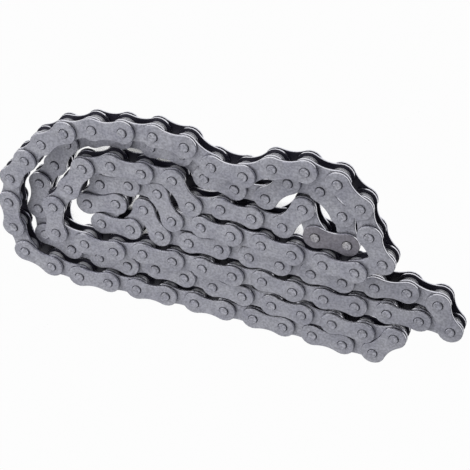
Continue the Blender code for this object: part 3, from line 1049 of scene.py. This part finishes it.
def lay_floor(rgb):
    deselect()
    bpy.ops.mesh.primitive_plane_add(size=6.0, location=(0.0, 0.0, -0.0001))
    floor = bpy.context.object
    floor.name = "studio_floor"
    material = bpy.data.materials.new("studio_paper")
    material.use_nodes = True
    tree = material.node_tree
    tree.nodes.clear()
    paper = add_node(
        tree, "ShaderNodeBsdfPrincipled",
        inputs={"Base Color": (*rgb, 1.0), "Roughness": 0.9, "Specular IOR Level": 0.0},
    )
    white = add_node(tree, "ShaderNodeEmission", inputs={"Strength": 1.0})
    # Painted shade: where the floor sees little open sky, in the deep and narrow gaps between
    # the rows, the white is taken away and the dark paper shows
    open_sky = add_node(
        tree, "ShaderNodeAmbientOcclusion", {"samples": 64}, {"Distance": GAP_REACH},
    )
    lit = add_node(
        tree, "ShaderNodeMapRange",
        inputs={
            "Value": open_sky.outputs["AO"], "From Min": DARK_BELOW, "From Max": WHITE_FROM,
            "To Max": FLOOR_WHITE,
        },
    )
    share = add_node(
        tree, "ShaderNodeMath", {"operation": "MULTIPLY"},
        {0: background_share(tree), 1: lit.outputs["Result"]},
    )
    mix = add_node(tree, "ShaderNodeMixShader", inputs={"Fac": share.outputs[0]})
    tree.links.new(paper.outputs["BSDF"], mix.inputs[1])
    tree.links.new(white.outputs["Emission"], mix.inputs[2])
    output = add_node(tree, "ShaderNodeOutputMaterial")
    tree.links.new(mix.outputs["Shader"], output.inputs["Surface"])
    floor.data.materials.append(material)


def light_world(fill):
    world = bpy.data.worlds.new("studio")
    bpy.context.scene.world = world
    world.use_nodes = True
    tree = world.node_tree
    tree.nodes.clear()
    soft = add_node(
        tree, "ShaderNodeBackground",
        inputs={"Color": (0.93, 0.95, 1.0, 1.0), "Strength": fill},
    )
    white = add_node(
        tree, "ShaderNodeBackground", inputs={"Color": (1.0, 1.0, 1.0, 1.0), "Strength": 1.0},
    )
    path = add_node(tree, "ShaderNodeLightPath").outputs
    mix = add_node(tree, "ShaderNodeMixShader", inputs={"Fac": path["Is Camera Ray"]})
    tree.links.new(soft.outputs["Background"], mix.inputs[1])
    tree.links.new(white.outputs["Background"], mix.inputs[2])
    output = add_node(tree, "ShaderNodeOutputWorld")
    tree.links.new(mix.outputs["Shader"], output.inputs["Surface"])


def hang_lamp(name, direction, distance, width, power):
    direction = direction.normalized()
    light = bpy.data.lights.new("studio_" + name, "AREA")
    light.energy = power
    light.size = width
    lamp = bpy.data.objects.new("studio_" + name, light)
    lamp.location = direction * distance
    lamp.rotation_euler = direction.to_track_quat("Z", "Y").to_euler()
    bpy.context.scene.collection.objects.link(lamp)


def stand_camera(studio):
    data = bpy.data.cameras.new("camera")
    data.sensor_width = 36.0
    data.lens = studio.lens
    data.clip_start = 0.01
    camera = bpy.data.objects.new("camera", data)
    camera.location = studio.place
    camera.rotation_euler = Euler(studio.turn, "XYZ")
    bpy.context.scene.collection.objects.link(camera)
    bpy.context.scene.camera = camera
    bpy.context.scene.view_settings.view_transform = "Standard"


class CHAIN_PT_sidebar(bpy.types.Panel):
    """Lists the sizes, the colours and the steps"""

    bl_idname = "CHAIN_PT_sidebar"
    bl_label = "Folded Roller Chain"
    bl_space_type = "VIEW_3D"
    bl_region_type = "UI"
    bl_category = "Chain"

    def draw(self, context):
        scene = context.scene
        for settings in (scene.chain_sizes, scene.chain_colours, scene.chain_studio):
            box = self.layout.box()
            for name in settings.bl_rna.properties.keys():
                if name not in ("rna_type", "name"):
                    box.prop(settings, name)
        for step in STEPS:
            self.layout.operator(step.bl_idname)


GROUPS = {"chain_sizes": ChainSizes, "chain_colours": ChainColours, "chain_studio": ChainStudio}
STEPS = (
    CHAIN_OT_outer_plates, CHAIN_OT_inner_plates, CHAIN_OT_pins, CHAIN_OT_bushings,
    CHAIN_OT_rollers, CHAIN_OT_open_link, CHAIN_OT_connecting_link, CHAIN_OT_studio,
)


def register():
    for kind in (*GROUPS.values(), *STEPS, CHAIN_PT_sidebar):
        bpy.utils.register_class(kind)
    for name, kind in GROUPS.items():
        setattr(bpy.types.Scene, name, bpy.props.PointerProperty(type=kind))


def unregister():
    for name in GROUPS:
        delattr(bpy.types.Scene, name)
    for kind in reversed((*GROUPS.values(), *STEPS, CHAIN_PT_sidebar)):
        bpy.utils.unregister_class(kind)


def main():
    register()
    for step in STEPS:
        family, name = step.bl_idname.split(".")
        getattr(getattr(bpy.ops, family), name)()


if __name__ == "__main__":
    main()
